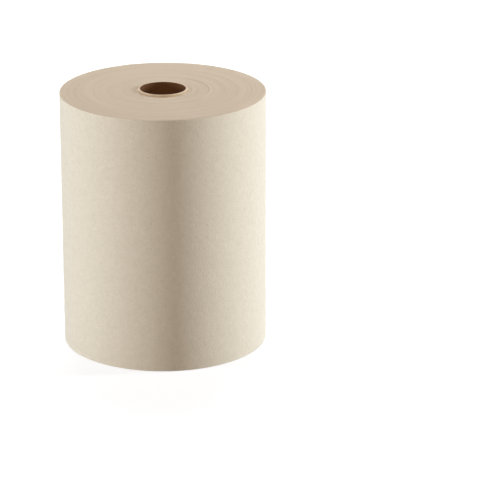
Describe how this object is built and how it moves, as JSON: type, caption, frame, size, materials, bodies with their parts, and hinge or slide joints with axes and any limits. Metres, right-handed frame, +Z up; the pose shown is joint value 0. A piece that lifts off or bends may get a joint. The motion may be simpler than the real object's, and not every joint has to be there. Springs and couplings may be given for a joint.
{
  "type": "paper towel roll",
  "caption": "Hardwound roll of natural brown paper towel on an open cardboard core, standing on its end, with stepped bundles of turns on both ends and a free tail at the back.",
  "frame": {"origin": "middle of the foot, on the surface that the roll stands on", "axes": "+Z up along the core's axis, -Y towards the viewer, the free tail on the +Y side"},
  "size_m": [0.2009, 0.2007, 0.256],
  "materials": {
    "core_board": "matte",
    "towel_paper": "matte"
  },
  "bodies": {
    "root": {"core_tube": "core_board", "towel_web": "towel_paper"}
  },
  "joints": []
}
